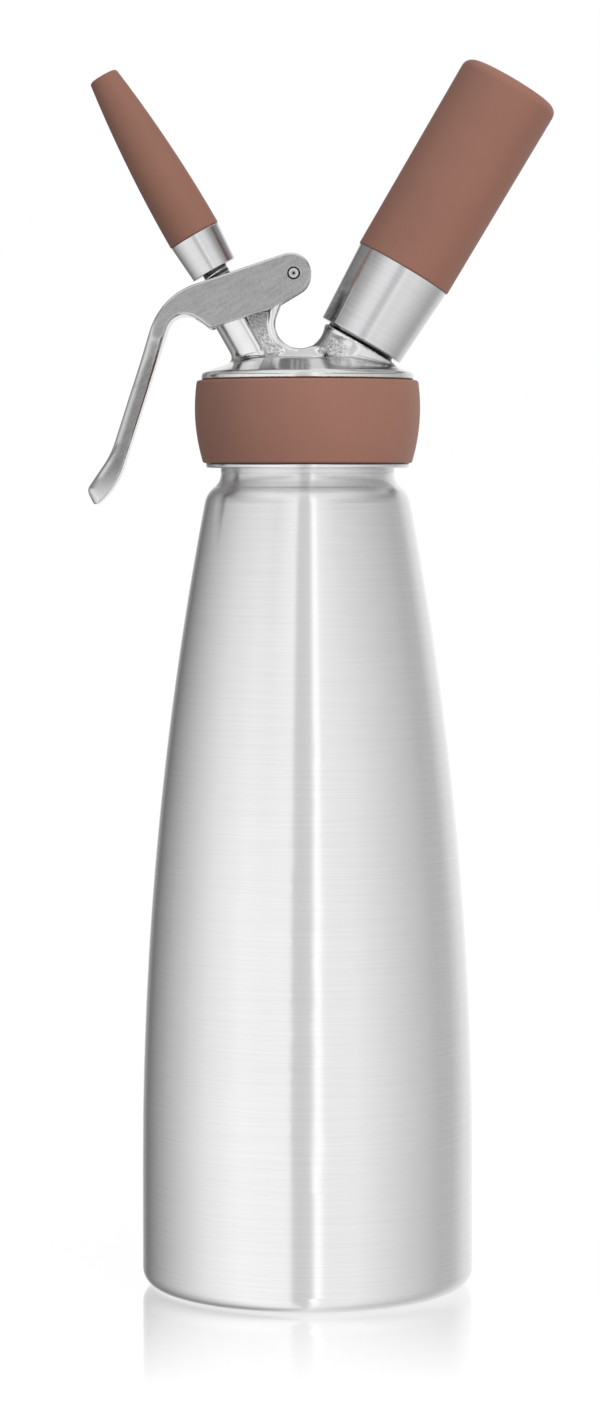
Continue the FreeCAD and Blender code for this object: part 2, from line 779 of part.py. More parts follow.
def runs_along_side(edge):
    """Test whether an edge runs along one side of the lever, and not across it."""
    box = edge.BoundBox
    one_side = box.YMin * box.YMax > 0
    return one_side and box.ZLength > worth("seat_clearance") and not edge.isClosed()


def narrow_shank(body):
    """Waist of the shank and rounded finger pad, as seen from the front of the pad."""
    sides = new_sketch(body, "waist_outline", "YZ_Plane")
    pad_foot = "toe_z - nose_length * cos(nose_lean)"
    beyond = "cheek_half + 1"
    for side in ("1", "0 - 1"):
        half = [
            (beyond, "0 - waist_drop"),
            ("cheek_half", "0 - waist_drop", "waist_length / 2"),
            ("shank_half", "0 - waist_drop - waist_length", "waist_length"),
            ("shank_half", "flare_z + pad_corner_radius / 2", "flare_radius / 2"),
            ("pad_half", "toe_z + pad_corner_radius / 2", "pad_corner_radius"),
            ("pad_half", pad_foot, "pad_corner_radius * 0.9"),
            ("0.5", pad_foot),
            ("0.5", pad_foot + " - 5"),
            (beyond, pad_foot + " - 5"),
        ]
        draw(sides, [("(%s) * (%s)" % (side, corner[0]),) + corner[1:] for corner in half])
    extrude(body, "waist", sides, "4 * knee_radius + 2 * shank_length", cut=True)


def cut_fork(body):
    """Gap between the cheeks, the rib that presses the valve, and the stem's slot."""
    gap = new_sketch(body, "fork_outline")
    under = "web_under_z + (%s - web_under_x) * tan(lever_top_slope)"
    beyond = "2 * lever_end_radius"
    draw(gap, [
        ("0 - fork_depth", under % "0 - fork_depth"),
        ("0 - fork_depth", "0 - fork_depth"),
        (beyond, "0 - fork_depth"),
        (beyond, beyond),
        ("web_end_x", beyond),
        ("web_end_x", under % "web_end_x"),
    ])
    extrude(body, "fork_gap", gap, "2 * cheek_half_gap", cut=True)
    cross_cylinder(body, "press_rib", "rib_x", "rib_z", "rib_radius", "cheek_half_gap + cheek_thickness / 2")
    slot = new_sketch(body, "slot_outline", "XY_Plane")
    slot.AttachmentOffset = Placement(Vector(), Rotation(Vector(0, 1, 0), 1))
    bind(slot, "AttachmentOffset.Rotation.Angle", TIP_ANGLE)
    bind(slot, "AttachmentOffset.Base.x", "rib_x")
    bind(slot, "AttachmentOffset.Base.z", "rib_z")
    near, far, side = "0 - stem_slot_half", "stem_slot_half + stem_slot_slide", "stem_slot_half"
    corner = "stem_slot_half * 0.95"
    draw(slot, [
        (near, "0 - " + side, corner),
        (far, "0 - " + side, corner),
        (far, side, corner),
        (near, side, corner),
    ])
    extrude(body, "stem_slot", slot, "8 * lever_web", cut=True)
    cross_cylinder(body, "pivot_hole", "0", "0", "pin_radius + running_clearance", "2 * cheek_half", cut=True)


def make_lever_pin():
    """Pivot pin, pressed in the head's lug, with a dimple in each end."""
    body = new_body("lever_pin")
    body.Placement = Placement(Vector(), Rotation(Vector(1, 0, 0), 90))
    bind(body, "Placement.Base.x", "pivot_side")
    bind(body, "Placement.Base.z", "pivot_height")
    end = "cheek_half - seat_clearance"
    dimple = end + " - pin_dimple_radius"
    revolve(body, "pin", [
        ("0", "0 - (%s)" % dimple),
        ("pin_dimple_radius", "0 - (%s)" % end),
        ("pin_radius", "0 - (%s)" % end),
        ("pin_radius", end),
        ("pin_dimple_radius", end),
        ("0", dimple),
    ])
    return body


# Dispensing valve


def leaning_piece(label, angle, outline):
    """A turned piece on one of the leaning axes."""
    body = new_body(label)
    lean(body, angle)
    revolve(body, label + "_turning", outline)
    return body


def plain_ring(label, angle, foot, top, inner, outer):
    """A flat ring on one of the leaning axes."""
    return leaning_piece(label, angle, [(inner, foot), (outer, foot), (outer, top), (inner, top)])


def make_valve_stem():
    """Hollow stem with its closing flange, side inlets and two ring grooves."""
    groove_top = "ring_groove_at + ring_groove_height"
    body = leaning_piece("valve_stem", TIP_ANGLE, [
        ("0", "flange_foot_at"),
        ("valve_flange_radius", "flange_foot_at", "valve_flange_thickness / 2"),
        ("valve_flange_radius", "flange_top_at"),
        ("stem_radius", "flange_top_at"),
        ("stem_radius", "ring_groove_at"),
        ("stem_radius - ring_groove_depth", "ring_groove_at"),
        ("stem_radius - ring_groove_depth", groove_top),
        ("stem_radius", groove_top),
        ("stem_radius", "clip_foot_at - seat_clearance"),
        ("stem_radius - clip_groove_depth", "clip_foot_at - seat_clearance"),
        ("stem_radius - clip_groove_depth", "collar_disc_top_at"),
        ("stem_radius", "collar_disc_top_at"),
        ("stem_radius", "stem_top_at - clip_groove_depth"),
        ("stem_radius - clip_groove_depth", "stem_top_at"),
        ("stem_bore_radius", "stem_top_at"),
        ("stem_bore_radius", "boss_end_at + 1"),
        ("0", "boss_end_at + 1"),
    ])
    inlet = "boss_end_at + 1 + valve_port_radius"
    cross_cylinder(body, "side_inlets", "0", inlet, "valve_port_radius", "2 * stem_radius", cut=True)
    return body


def make_stem_oring():
    """Round-section sealing ring in the stem's lower groove."""
    ring = doc.addObject("Part::Torus", "stem_oring")
    ring.Label = "stem_oring"
    section = "ring_groove_depth / 2"
    height = "ring_groove_at + ring_groove_height / 2"
    lean(ring, TIP_ANGLE, "crossing_height + (%s) * cos(tip_lean)" % height)
    bind(ring, "Placement.Base.x", "0 - (%s) * sin(tip_lean)" % height)
    bind(ring, "Radius2", section)
    bind(ring, "Radius1", "stem_radius - %s + running_clearance / 3" % section)
    return ring


def make_valve_collar():
    """Disc on the stem: the spring lifts it and the lever's rib presses it."""
    return leaning_piece("valve_collar", TIP_ANGLE, [
        ("stem_radius + seat_clearance", "disc_foot_at"),
        ("collar_disc_radius", "disc_foot_at"),
        ("collar_disc_radius", "collar_disc_top_at"),
        ("clip_radius + seat_clearance", "collar_disc_top_at"),
        ("clip_radius + seat_clearance", "clip_foot_at - seat_clearance"),
        ("stem_radius + seat_clearance", "clip_foot_at - seat_clearance"),
    ])


def make_collar_clip():
    """Open clip in the stem's upper groove, which holds the disc down."""
    body = plain_ring(
        "collar_clip", TIP_ANGLE, "clip_foot_at", "clip_foot_at + clip_thickness",
        "stem_radius - clip_groove_depth + seat_clearance", "clip_radius",
    )
    gap = new_sketch(body, "gap_outline")
    draw(gap, [
        ("0", "clip_foot_at - 1"),
        ("2 * clip_radius", "clip_foot_at - 1"),
        ("2 * clip_radius", "clip_foot_at + 2 * clip_thickness"),
        ("0", "clip_foot_at + 2 * clip_thickness"),
    ])
    extrude(body, "clip_gap", gap, "clip_radius / 2", cut=True)
    return body


def make_valve_spring():
    """Coil spring from the seat in the tube to the disc, one tube on biarcs."""
    wire = worth("spring_wire_radius")
    radius = worth("spring_radius")
    foot = worth("spring_seat_at + seat_clearance") + wire
    top = worth("disc_foot_at - seat_clearance") - wire
    turns = worth("spring_turns")
    pitch = (top - foot) / turns
    steps = int(round(turns * 4))
    spots = [coil_point(radius, pitch, quarter) + Vector(0, 0, foot) for quarter in range(steps + 1)]
    ways = [coil_heading(radius, pitch, quarter) for quarter in range(steps + 1)]
    edges = []
    for index in range(steps):
        edges += biarc(spots[index], ways[index], spots[index + 1], ways[index + 1])
    section = Part.Wire(Part.makeCircle(wire, spots[0], ways[0]))
    shell = Part.Wire(edges).makePipeShell([section], True, False)
    spring = doc.addObject("Part::Feature", "valve_spring")
    spring.Label = "valve_spring"
    spring.Shape = shell
    lean(spring, TIP_ANGLE)
    print("valve_spring least gap between turns %.2f mm" % (pitch - 2 * wire))
    return spring


def coil_point(radius, pitch, quarter):
    """A point of the coil, after a number of quarter turns."""
    turn = quarter * pi / 2
    return Vector(radius * cos(turn), radius * sin(turn), pitch * quarter / 4)


def coil_heading(radius, pitch, quarter):
    """The coil's direction after a number of quarter turns."""
    turn = quarter * pi / 2
    return Vector(-radius * sin(turn), radius * cos(turn), pitch / (2 * pi)).normalize()


def biarc(start, way_in, end, way_out):
    """Two arcs that join two points with given directions and a common tangent."""
    chord = end - start
    both = way_in + way_out
    steep = 2 * (1 - way_in.dot(way_out))
    reach = (-chord.dot(both) + (chord.dot(both) ** 2 + steep * chord.dot(chord)) ** 0.5) / steep
    joint = (start + way_in * reach + end - way_out * reach) * 0.5
    return [arc_from(start, way_in, joint), arc_from(end, way_out * -1, joint)]


def arc_from(start, way, end):
    """The arc that leaves start in a direction and reaches end."""
    chord = end - start
    half = way.getAngle(chord) / 2
    rise = (way - chord * (way.dot(chord) / chord.dot(chord))).normalize()
    middle = start + chord * 0.5 + rise * (chord.Length / 2 * tan(half))
    return Part.Arc(start, middle, end).toShape()


# Cream tip


def make_tip_ferrule():
    """Steel nut under the nozzle: threaded on the stem, with a socket for the plug."""
    bore = "stem_radius + thread_clearance"
    return leaning_piece("tip_ferrule", TIP_ANGLE, [
        (bore, "ferrule_foot_at"),
        ("ferrule_foot_radius", "ferrule_foot_at", "0.3"),
        ("ferrule_top_radius", "ferrule_top_at", "0.3"),
        ("ferrule_socket_radius", "ferrule_top_at"),
        ("ferrule_socket_radius", "socket_floor_at"),
        (bore, "socket_floor_at"),
    ])


def make_tip_nozzle():
    """Nozzle: a plug in the ferrule, a slender curved cone and a tapering bore."""
    end = "nozzle_end_at - nozzle_end_rounding"
    return leaning_piece("tip_nozzle", TIP_ANGLE, [
        ("tip_seal_radius + seat_clearance", "socket_floor_at + seat_clearance"),
        ("plug_radius", "socket_floor_at + seat_clearance"),
        ("plug_radius", "nozzle_foot_at"),
        ("nozzle_radius - fine_edge", "nozzle_foot_at"),
        ("nozzle_radius", "nozzle_foot_at + fine_edge", "fine_edge", "left"),
        ("nozzle_end_radius", end, "nozzle_curve_radius", "left"),
        ("nozzle_end_radius - nozzle_end_rounding", "nozzle_end_at", "nozzle_end_rounding", "left"),
        ("nozzle_outlet_radius", "nozzle_end_at"),
        ("nozzle_inlet_radius", "nozzle_seat_at"),
        ("tip_seal_radius + seat_clearance", "nozzle_seat_at"),
    ])


# Charger holder


def make_holder_sleeve():
    """Steel cup that screws on the stud, with the bore for one charger."""
    step = "stud_top_at + 4 * seat_clearance"
    return leaning_piece("holder_sleeve", HOLDER_ANGLE, [
        ("holder_bore_radius", "holder_foot_at"),
        ("holder_foot_radius", "holder_foot_at", "fine_edge"),
        ("holder_steel_radius", "holder_steel_top_at"),
        ("sleeve_radius", "holder_steel_top_at"),
        ("sleeve_radius", "sleeve_top_at"),
        ("0", "sleeve_top_at"),
        ("0", "sleeve_floor_at"),
        ("charger_bore_radius", "sleeve_floor_at"),
        ("charger_bore_radius", step),
        ("holder_bore_radius", step),
    ])


def make_holder_grip():
    """Silicone grip over the sleeve, closed and slightly crowned at its end."""
    bore = "sleeve_radius + seat_clearance"
    foot = "holder_steel_top_at + seat_clearance"
    return leaning_piece("holder_grip", HOLDER_ANGLE, [
        (bore, foot),
        ("grip_foot_radius", foot, "0.5"),
        ("grip_top_radius", "grip_top_at - grip_crown", "grip_edge_radius"),
        ("0", "grip_top_at"),
        ("0", "sleeve_top_at + seat_clearance"),
        (bore, "sleeve_top_at + seat_clearance"),
    ])


def make_charger():
    """Gas charger: a hollow steel bottle, its pierced neck pressed on the seal."""
    neck_top = "charger_seat_at + charger_neck_length"
    shoulder_top = neck_top + " + charger_shoulder_length"
    inner = "charger_radius - charger_wall"
    return leaning_piece("charger", HOLDER_ANGLE, [
        ("charger_mouth_radius", "charger_seat_at"),
        ("charger_neck_radius", "charger_seat_at", "0.6"),
        ("charger_neck_radius", neck_top, "1"),
        ("charger_radius", shoulder_top, "charger_shoulder_length"),
        ("charger_radius", "charger_end_at", "charger_end_radius"),
        ("0", "charger_end_at"),
        ("0", "charger_end_at - charger_wall"),
        (inner, "charger_end_at - charger_wall", "charger_end_radius - charger_wall"),
        (inner, shoulder_top),
        ("charger_mouth_radius", neck_top),
    ])


# Piercing parts in the stud


def make_piercing_pin():
    """Hollow needle on a flange, which pierces the charger's cap."""
    point = "pin_flange_top_at + needle_length"
    shank = point + " - needle_point_length"
    return leaning_piece("piercing_pin", HOLDER_ANGLE, [
        ("needle_bore_radius", "pin_flange_foot_at"),
        ("port_fit_radius", "pin_flange_foot_at"),
        ("port_fit_radius", "pin_flange_top_at"),
        ("needle_radius", "pin_flange_top_at"),
        ("needle_radius", shank),
        ("needle_bore_radius + needle_point_wall", point),
        ("needle_bore_radius", point),
    ])


parts = [
    make_bottle_shell(),
    make_neck_ring(),
    make_head_gasket(),
    make_head(),
    make_head_grip_ring(),
    make_lever(),
    make_lever_pin(),
    make_valve_stem(),
    plain_ring(
        "valve_seal", TIP_ANGLE, "flange_top_at", "boss_end_at - seat_clearance",
        "stem_radius + seat_clearance", "valve_flange_radius + seal_overhang",
    ),
    make_stem_oring(),
    make_valve_collar(),
    make_collar_clip(),
    make_valve_spring(),
    plain_ring(
        "tip_seal", TIP_ANGLE, "tip_seal_at", "tip_seal_at + tip_seal_thickness",
        "stem_bore_radius", "tip_seal_radius",
    ),
    make_tip_ferrule(),
    make_tip_nozzle(),
    make_holder_sleeve(),
    make_holder_grip(),
    make_charger(),
    make_piercing_pin(),
    plain_ring(
        "charger_seal", HOLDER_ANGLE, "pin_flange_top_at + seat_clearance",
        "charger_seat_at - seat_clearance", "needle_radius + seat_clearance", "port_fit_radius",
    ),
    plain_ring(
        "pin_bush", HOLDER_ANGLE, "bush_foot_at", "pin_flange_foot_at - seat_clearance",
        "bush_hole_radius", "port_fit_radius",
    ),
    plain_ring(
        "check_valve", HOLDER_ANGLE, "port_floor_at + seat_clearance",
        "port_floor_at + seat_clearance + check_valve_thickness", "needle_bore_radius", "port_fit_radius",
    ),
]
doc.recompute()

# Check and write

os.makedirs("parts", exist_ok=True)
for thing in doc.Objects:
    if "Invalid" in thing.State or "Error" in thing.State:
        raise RuntimeError("%s failed: %s" % (thing.Label, thing.State))
for part in parts:
    if part.Shape.isNull() or not part.Shape.isValid():
        raise RuntimeError("%s has no valid shape" % part.Label)
for part in parts:
    part.Shape.exportStep("parts/%s.step" % part.Label)
    print("%-18s %9.1f mm3, %d solid(s)" % (part.Label, part.Shape.Volume, len(part.Shape.Solids)))
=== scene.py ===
# %% [markdown]
# # A whipped cream dispenser in metal and silicone
#
# The solids of the dispenser are already made and come in as a frame: a tall
# bottle, a screwed head with a lever valve, a nozzle and a charger holder.
# This lesson dresses them. It gives each piece a finish made of nodes, rounds the
# lever and the head further than the solids do, winds the spring, and sets up the
# studio.
#
# All lengths are in metres, +Z is up, and the origin is on the bottle's axis at
# the floor.

# %% Load the frame
import json
import math

import bmesh
import bpy
from mathutils import Matrix, Vector
from mathutils.bvhtree import BVHTree


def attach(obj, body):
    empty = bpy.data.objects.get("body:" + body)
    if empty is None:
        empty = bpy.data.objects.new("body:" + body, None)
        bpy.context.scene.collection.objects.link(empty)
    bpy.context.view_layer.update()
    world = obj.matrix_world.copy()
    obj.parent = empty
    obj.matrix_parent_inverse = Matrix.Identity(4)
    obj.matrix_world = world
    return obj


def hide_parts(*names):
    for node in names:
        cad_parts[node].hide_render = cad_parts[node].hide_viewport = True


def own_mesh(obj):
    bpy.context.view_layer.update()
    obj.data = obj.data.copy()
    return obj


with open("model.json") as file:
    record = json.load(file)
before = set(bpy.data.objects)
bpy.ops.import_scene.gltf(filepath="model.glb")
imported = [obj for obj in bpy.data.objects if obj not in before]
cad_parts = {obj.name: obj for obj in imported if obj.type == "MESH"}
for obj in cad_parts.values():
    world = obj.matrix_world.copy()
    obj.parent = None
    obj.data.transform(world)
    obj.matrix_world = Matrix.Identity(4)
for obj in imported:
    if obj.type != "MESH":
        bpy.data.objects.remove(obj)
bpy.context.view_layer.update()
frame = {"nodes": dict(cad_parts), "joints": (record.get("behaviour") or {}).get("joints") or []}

nodes = frame["nodes"]
print("pieces in the frame:", len(nodes))

# %% [markdown]
# ## The axes of the leaning pieces
#
# The nozzle and the charger holder lean away from the bottle's axis and cross it
# at one point. Patterns such as turning marks run round these axes, and the
# spring is wound on one of them, so both are written down once here. Their angles
# are those of the joints in the frame.

# %% Leaning axes
joints = {joint["name"]: joint for joint in frame["joints"]}
crossing = Vector(joints["tip_turn"]["pos_m"])
tip_axis = Vector(joints["tip_turn"]["axis"]).normalized()
holder_axis = Vector(joints["holder_turn"]["axis"]).normalized()
tip_lean = math.atan2(tip_axis.x, tip_axis.z)
holder_lean = math.atan2(holder_axis.x, holder_axis.z)
print("tip leans %.1f degrees, holder %.1f" % (math.degrees(tip_lean), math.degrees(holder_lean)))

# %% [markdown]
# ## Camera
#
# The photograph was taken from a little above the middle of the bottle with a
# long lens. A long lens keeps the sides nearly parallel, and the small tilt
# shows the floor and the top of the head as thin ellipses.

# %% Camera
image_height = 1418
focal_in_pixels = 4000
sensor_height = 24.0
nearest_seen = 0.01
camera_place = (-0.0022, -1.1812, 0.2417)
tilt_down = 3.42

camera_data = bpy.data.cameras.new("camera")
camera_data.sensor_fit = "VERTICAL"
camera_data.sensor_height = sensor_height
camera_data.lens = sensor_height * focal_in_pixels / image_height
camera_data.clip_start = nearest_seen
camera = bpy.data.objects.new("camera", camera_data)
camera.location = camera_place
camera.rotation_euler = (math.radians(90 - tilt_down), 0, 0)
bpy.context.scene.collection.objects.link(camera)
bpy.context.scene.camera = camera
print("lens in mm:", round(camera_data.lens, 1))

# %% [markdown]
# ## Building node trees
#
# A finish is a tree of shader nodes. Writing each link by hand is long, so these
# helpers add a node with its settings, start a material or a group, and reckon
# with numbers, vectors and colours. A group is an effect that several finishes
# share, with named inputs and one output.

# %% Node helpers


def add_node(tree, kind, inputs=None, **settings):
    """Add a node, set its properties, and set or link its inputs."""
    node = tree.nodes.new(kind)
    for name, value in settings.items():
        setattr(node, name, value)
    for key, value in (inputs or {}).items():
        if isinstance(value, bpy.types.NodeSocket):
            tree.links.new(value, node.inputs[key])
        else:
            node.inputs[key].default_value = value
    return node


def start_material(name, metallic=0.0):
    """A new material, its tree and its Principled shader."""
    material = bpy.data.materials.new(name)
    material.use_nodes = True
    tree = material.node_tree
    shader = tree.nodes["Principled BSDF"]
    shader.inputs["Metallic"].default_value = metallic
    return material, tree, shader


def start_group(name, inputs, output):
    """A shader group with named sockets, what it takes in, and where its result goes."""
    group = bpy.data.node_groups.new(name, "ShaderNodeTree")
    group.interface.new_socket("Vector", in_out="INPUT", socket_type="NodeSocketVector")
    for label, default in inputs.items():
        socket = group.interface.new_socket(label, in_out="INPUT", socket_type="NodeSocketFloat")
        socket.default_value = default
    group.interface.new_socket(output, in_out="OUTPUT", socket_type="NodeSocketFloat")
    taken = group.nodes.new("NodeGroupInput").outputs
    given = group.nodes.new("NodeGroupOutput").inputs[0]
    return group, taken, given


def use_group(tree, group, inputs):
    """Place a group in a tree, and give its result."""
    return add_node(tree, "ShaderNodeGroup", inputs, node_tree=group).outputs[0]


def calculate(tree, operation, *values):
    """A Math node's result."""
    return add_node(tree, "ShaderNodeMath", dict(enumerate(values)), operation=operation).outputs[0]


def calculate_vector(tree, operation, *vectors):
    """A Vector Math node's result, which is a number for a length."""
    node = add_node(tree, "ShaderNodeVectorMath", dict(enumerate(vectors)), operation=operation)
    return node.outputs["Value" if operation == "LENGTH" else "Vector"]


def separate(tree, vector):
    """The X, Y and Z parts of a vector."""
    return add_node(tree, "ShaderNodeSeparateXYZ", {0: vector}).outputs


def fade(tree, value, start, end, low=0.0, high=1.0):
    """A value that goes from low to high while another goes from start to end."""
    return add_node(tree, "ShaderNodeMapRange", {
        "Value": value, "From Min": start, "From Max": end, "To Min": low, "To Max": high,
    }).outputs[0]


def between(tree, mask, low, high):
    """A value that is low where the mask is 0 and high where it is 1."""
    return fade(tree, mask, 0.0, 1.0, low, high)


def inside(tree, value, low, high, soft):
    """A mask that is 1 where a value lies between two limits."""
    rise = fade(tree, value, low - soft, low)
    fall = fade(tree, value, high, high + soft, 1.0, 0.0)
    return calculate(tree, "MULTIPLY", rise, fall)


def blend(tree, mask, first, second):
    """One colour where the mask is 0 and another where it is 1."""
    mask_in, first_in, second_in, colour_out = 0, 6, 7, 2
    inputs = {mask_in: mask, first_in: first, second_in: second}
    return add_node(tree, "ShaderNodeMix", inputs, data_type="RGBA").outputs[colour_out]


def ramp(tree, factor, stops):
    """A colour ramp through (position, colour) stops."""
    node = add_node(tree, "ShaderNodeValToRGB", {"Fac": factor})
    elements = node.color_ramp.elements
    while len(elements) < len(stops):
        elements.new(0.5)
    for element, (position, colour) in zip(elements, stops):
        element.position = position
        element.color = colour
    return node.outputs["Color"]


def grey(value):
    """A neutral colour."""
    return (value, value, value, 1)


def shaded(colour, share=1.0):
    """A colour made darker or lighter."""
    return (*(share * part for part in colour), 1)


# %% [markdown]
# ## Shared effects
#
# Four effects return on many pieces. Turning marks are fine lines round an axis,
# as a lathe or a brush leaves them. Grain is the fine speckle of blasted metal or
# moulded silicone. Smudge is a slow, soft change that keeps a large surface from
# looking like plastic. These three are noise, stretched or scaled in the right
# way. A thread's groove is a wave along an axis, which advances by one pitch in
# each turn.

# %% Groups for turning marks, grain, smudge and thread
noise_low, noise_high = 0.3, 0.7
groove_edge, groove_floor = 0.08, 0.42


def spread_noise(tree, vector, scale, detail, roughness):
    """Noise, stretched to fill the range from 0 to 1."""
    noise = add_node(tree, "ShaderNodeTexNoise", {
        "Vector": vector, "Scale": scale, "Detail": detail, "Roughness": roughness,
    })
    return fade(tree, noise.outputs["Fac"], noise_low, noise_high)


def make_turning_marks():
    """Fine lines round the Z axis of the vector that is put in."""
    group, taken, given = start_group("turning_marks", {"Lines per metre": 2500.0, "Length": 30.0}, "Lines")
    stretch = add_node(group, "ShaderNodeCombineXYZ", {
        "X": taken["Length"], "Y": taken["Length"], "Z": taken["Lines per metre"],
    }).outputs[0]
    spot = calculate_vector(group, "MULTIPLY", taken["Vector"], stretch)
    group.links.new(spread_noise(group, spot, scale=1.0, detail=3.0, roughness=0.65), given)
    return group


def make_grain():
    """Fine speckle of a given size."""
    group, taken, given = start_group("grain", {"Grains per metre": 2500.0}, "Grain")
    scale = taken["Grains per metre"]
    group.links.new(spread_noise(group, taken["Vector"], scale, detail=2.0, roughness=0.6), given)
    return group


def make_smudge():
    """Slow, soft change over a surface."""
    group, taken, given = start_group("smudge", {"Patches per metre": 25.0}, "Smudge")
    scale = taken["Patches per metre"]
    group.links.new(spread_noise(group, taken["Vector"], scale, detail=4.0, roughness=0.55), given)
    return group


def make_thread():
    """Grooves of a screw thread round the Z axis of the vector that is put in."""
    group, taken, given = start_group("thread", {"Pitch": 0.002}, "Groove")
    parts = separate(group, taken["Vector"])
    angle = calculate(group, "ARCTAN2", parts["Y"], parts["X"])
    turns = calculate(group, "DIVIDE", angle, 2 * math.pi)
    rise = calculate(group, "DIVIDE", parts["Z"], taken["Pitch"])
    wave = calculate(group, "PINGPONG", calculate(group, "SUBTRACT", rise, turns), 0.5)
    group.links.new(fade(group, wave, groove_edge, groove_floor), given)
    return group


turning_marks = make_turning_marks()
grain = make_grain()
smudge = make_smudge()
thread = make_thread()
print("shared effects:", [group.name for group in bpy.data.node_groups])

# %% [markdown]
# ## Finish helpers
#
# Every finish below needs the same few things: where on the piece a pattern is
# read, a colour and a roughness, and a bump. Object coordinates keep a pattern
# fixed to the piece when a joint moves it. For pieces on a leaning axis, a
# Mapping node turns the coordinates so that Z runs along it.

# %% Finish helpers


def piece_coordinates(tree, lean=0.0):
    """Object coordinates, turned so that Z runs along a leaning axis."""
    coordinates = add_node(tree, "ShaderNodeTexCoord").outputs["Object"]
    if not lean:
        return coordinates
    centre = calculate_vector(tree, "SUBTRACT", coordinates, crossing)
    turned = add_node(tree, "ShaderNodeMapping", {"Vector": centre, "Rotation": (0, -lean, 0)})
    return turned.outputs[0]


def around_tangent(tree, lean):
    """The direction round an axis at each place, for the shader's tangent."""
    axis = (math.sin(lean), 0, math.cos(lean))
    place = calculate_vector(tree, "SUBTRACT", piece_coordinates(tree), crossing)
    around = calculate_vector(tree, "CROSS_PRODUCT", axis, place)
    turned = add_node(tree, "ShaderNodeVectorTransform", {0: around},
                      vector_type="VECTOR", convert_from="OBJECT", convert_to="WORLD")
    return turned.outputs[0]


def paint(tree, shader, colour, roughness):
    """Link a finish's colour and roughness to its shader."""
    tree.links.new(colour, shader.inputs["Base Color"])
    tree.links.new(roughness, shader.inputs["Roughness"])


def add_bump(tree, shader, height, distance):
    """Raise a height on the shader's normal. Distance is in metres."""
    bump = add_node(tree, "ShaderNodeBump", {"Height": height, "Distance": distance, "Strength": 1.0})
    tree.links.new(bump.outputs[0], shader.inputs["Normal"])


def use_on(material, *names):
    """Give CAD pieces a finish."""
    for name in names:
        mesh = nodes[name].data
        mesh.materials.clear()
        mesh.materials.append(material)
    print(material.name, "on:", ", ".join(names))


# %% [markdown]
# ## Satin bottle
#
# The bottle is drawn from stainless sheet and brushed round its axis. Brushing
# spreads a reflection up and down but not sideways, so lamps show as long
# upright streaks. The shader's anisotropy does that, with a tangent that runs
# round the Z axis. Fine lines change its roughness a little.

# %% Satin bottle
lines_per_metre = 2600.0
line_relief = 2e-6
line_shade = 0.93
quarter_turn = 0.25


def make_turned_steel(name, lean, roughness, colour, anisotropy=0.0):
    """Steel with fine lines round an axis. Its roughness lies between two limits."""
    material, tree, shader = start_material(name, metallic=1.0)
    place = piece_coordinates(tree, lean)
    lines = use_group(tree, turning_marks, {"Vector": place, "Lines per metre": lines_per_metre})
    patches = use_group(tree, smudge, {"Vector": place})
    least, most = roughness
    from_patches = between(tree, patches, least, 0.5 * (least + most))
    from_lines = between(tree, lines, 0.0, 0.5 * (most - least))
    paint(tree, shader, blend(tree, lines, shaded(colour, line_shade), shaded(colour)),
          calculate(tree, "ADD", from_patches, from_lines))
    if anisotropy:
        shader.inputs["Anisotropic"].default_value = anisotropy
        shader.inputs["Anisotropic Rotation"].default_value = quarter_turn
        tree.links.new(around_tangent(tree, lean), shader.inputs["Tangent"])
    add_bump(tree, shader, lines, line_relief)
    return material


bottle_finish = make_turned_steel("bottle_steel", 0.0, (0.20, 0.25), (0.80, 0.80, 0.81), anisotropy=1.0)
use_on(bottle_finish, "bottle_shell")

# %% [markdown]
# ## Polished and turned steel
#
# The ferrule and the charger holder's cup are turned parts with a finer finish.
# The inner parts of the valve are plain turned steel, the charger is drawn steel,
# and the bush of the piercing pin is brass.

# %% Polished and turned steel
steel = (0.64, 0.64, 0.65)
warm_steel = (0.70, 0.69, 0.68)
tip_polish = make_turned_steel("tip_steel", tip_lean, (0.15, 0.20), steel, anisotropy=0.9)
holder_polish = make_turned_steel("holder_steel", holder_lean, (0.16, 0.22), steel, anisotropy=0.95)
turned_finish = make_turned_steel("turned_steel", tip_lean, (0.22, 0.30), warm_steel)
charger_finish = make_turned_steel("charger_steel", holder_lean, (0.24, 0.34), (0.70, 0.70, 0.72))
needle_finish = make_turned_steel("needle_steel", holder_lean, (0.20, 0.28), warm_steel)
brass_finish = make_turned_steel("bush_brass", holder_lean, (0.22, 0.30), (0.74, 0.52, 0.22))
use_on(tip_polish, "tip_ferrule")
use_on(holder_polish, "holder_sleeve")
use_on(turned_finish, "valve_collar", "collar_clip", "valve_spring")
use_on(charger_finish, "charger")
use_on(needle_finish, "piercing_pin")
use_on(brass_finish, "pin_bush")

# %% [markdown]
# ## Threads
#
# The nozzle's ferrule screws on the stem, and the head on the bottle's neck. Both
# threads show when the piece is unscrewed. A groove lowers the surface, and is
# painted near black, as shade in the groove.

# %% Threads
thread_runout = 0.0003
groove_depth = 3e-4
stem_pitch, stem_low, stem_high = 0.0015, 0.0505, 0.0640
neck_pitch, neck_margin, neck_length = 0.004, 0.003, 0.012
neck_low = nodes["neck_ring"].bound_box[0][2] + neck_margin


def make_threaded_steel(name, lean, pitch, low, high):
    """Turned steel with a thread between two places along its axis, its grooves painted near black as shade.
    """
    material, tree, shader = start_material(name, metallic=1.0)
    place = piece_coordinates(tree, lean)
    cut = inside(tree, separate(tree, place)["Z"], low, high, thread_runout)
    wave = use_group(tree, thread, {"Vector": place, "Pitch": pitch})
    grooves_and_shade = calculate(tree, "MULTIPLY", wave, cut)
    lines = use_group(tree, turning_marks, {"Vector": place})
    shine = blend(tree, lines, grey(0.62), grey(0.70))
    # The grooves are painted near black, as shade in them.
    paint(tree, shader, blend(tree, grooves_and_shade, shine, grey(0.06)), between(tree, lines, 0.20, 0.28))
    add_bump(tree, shader, calculate(tree, "MULTIPLY", grooves_and_shade, -1.0), groove_depth)
    return material


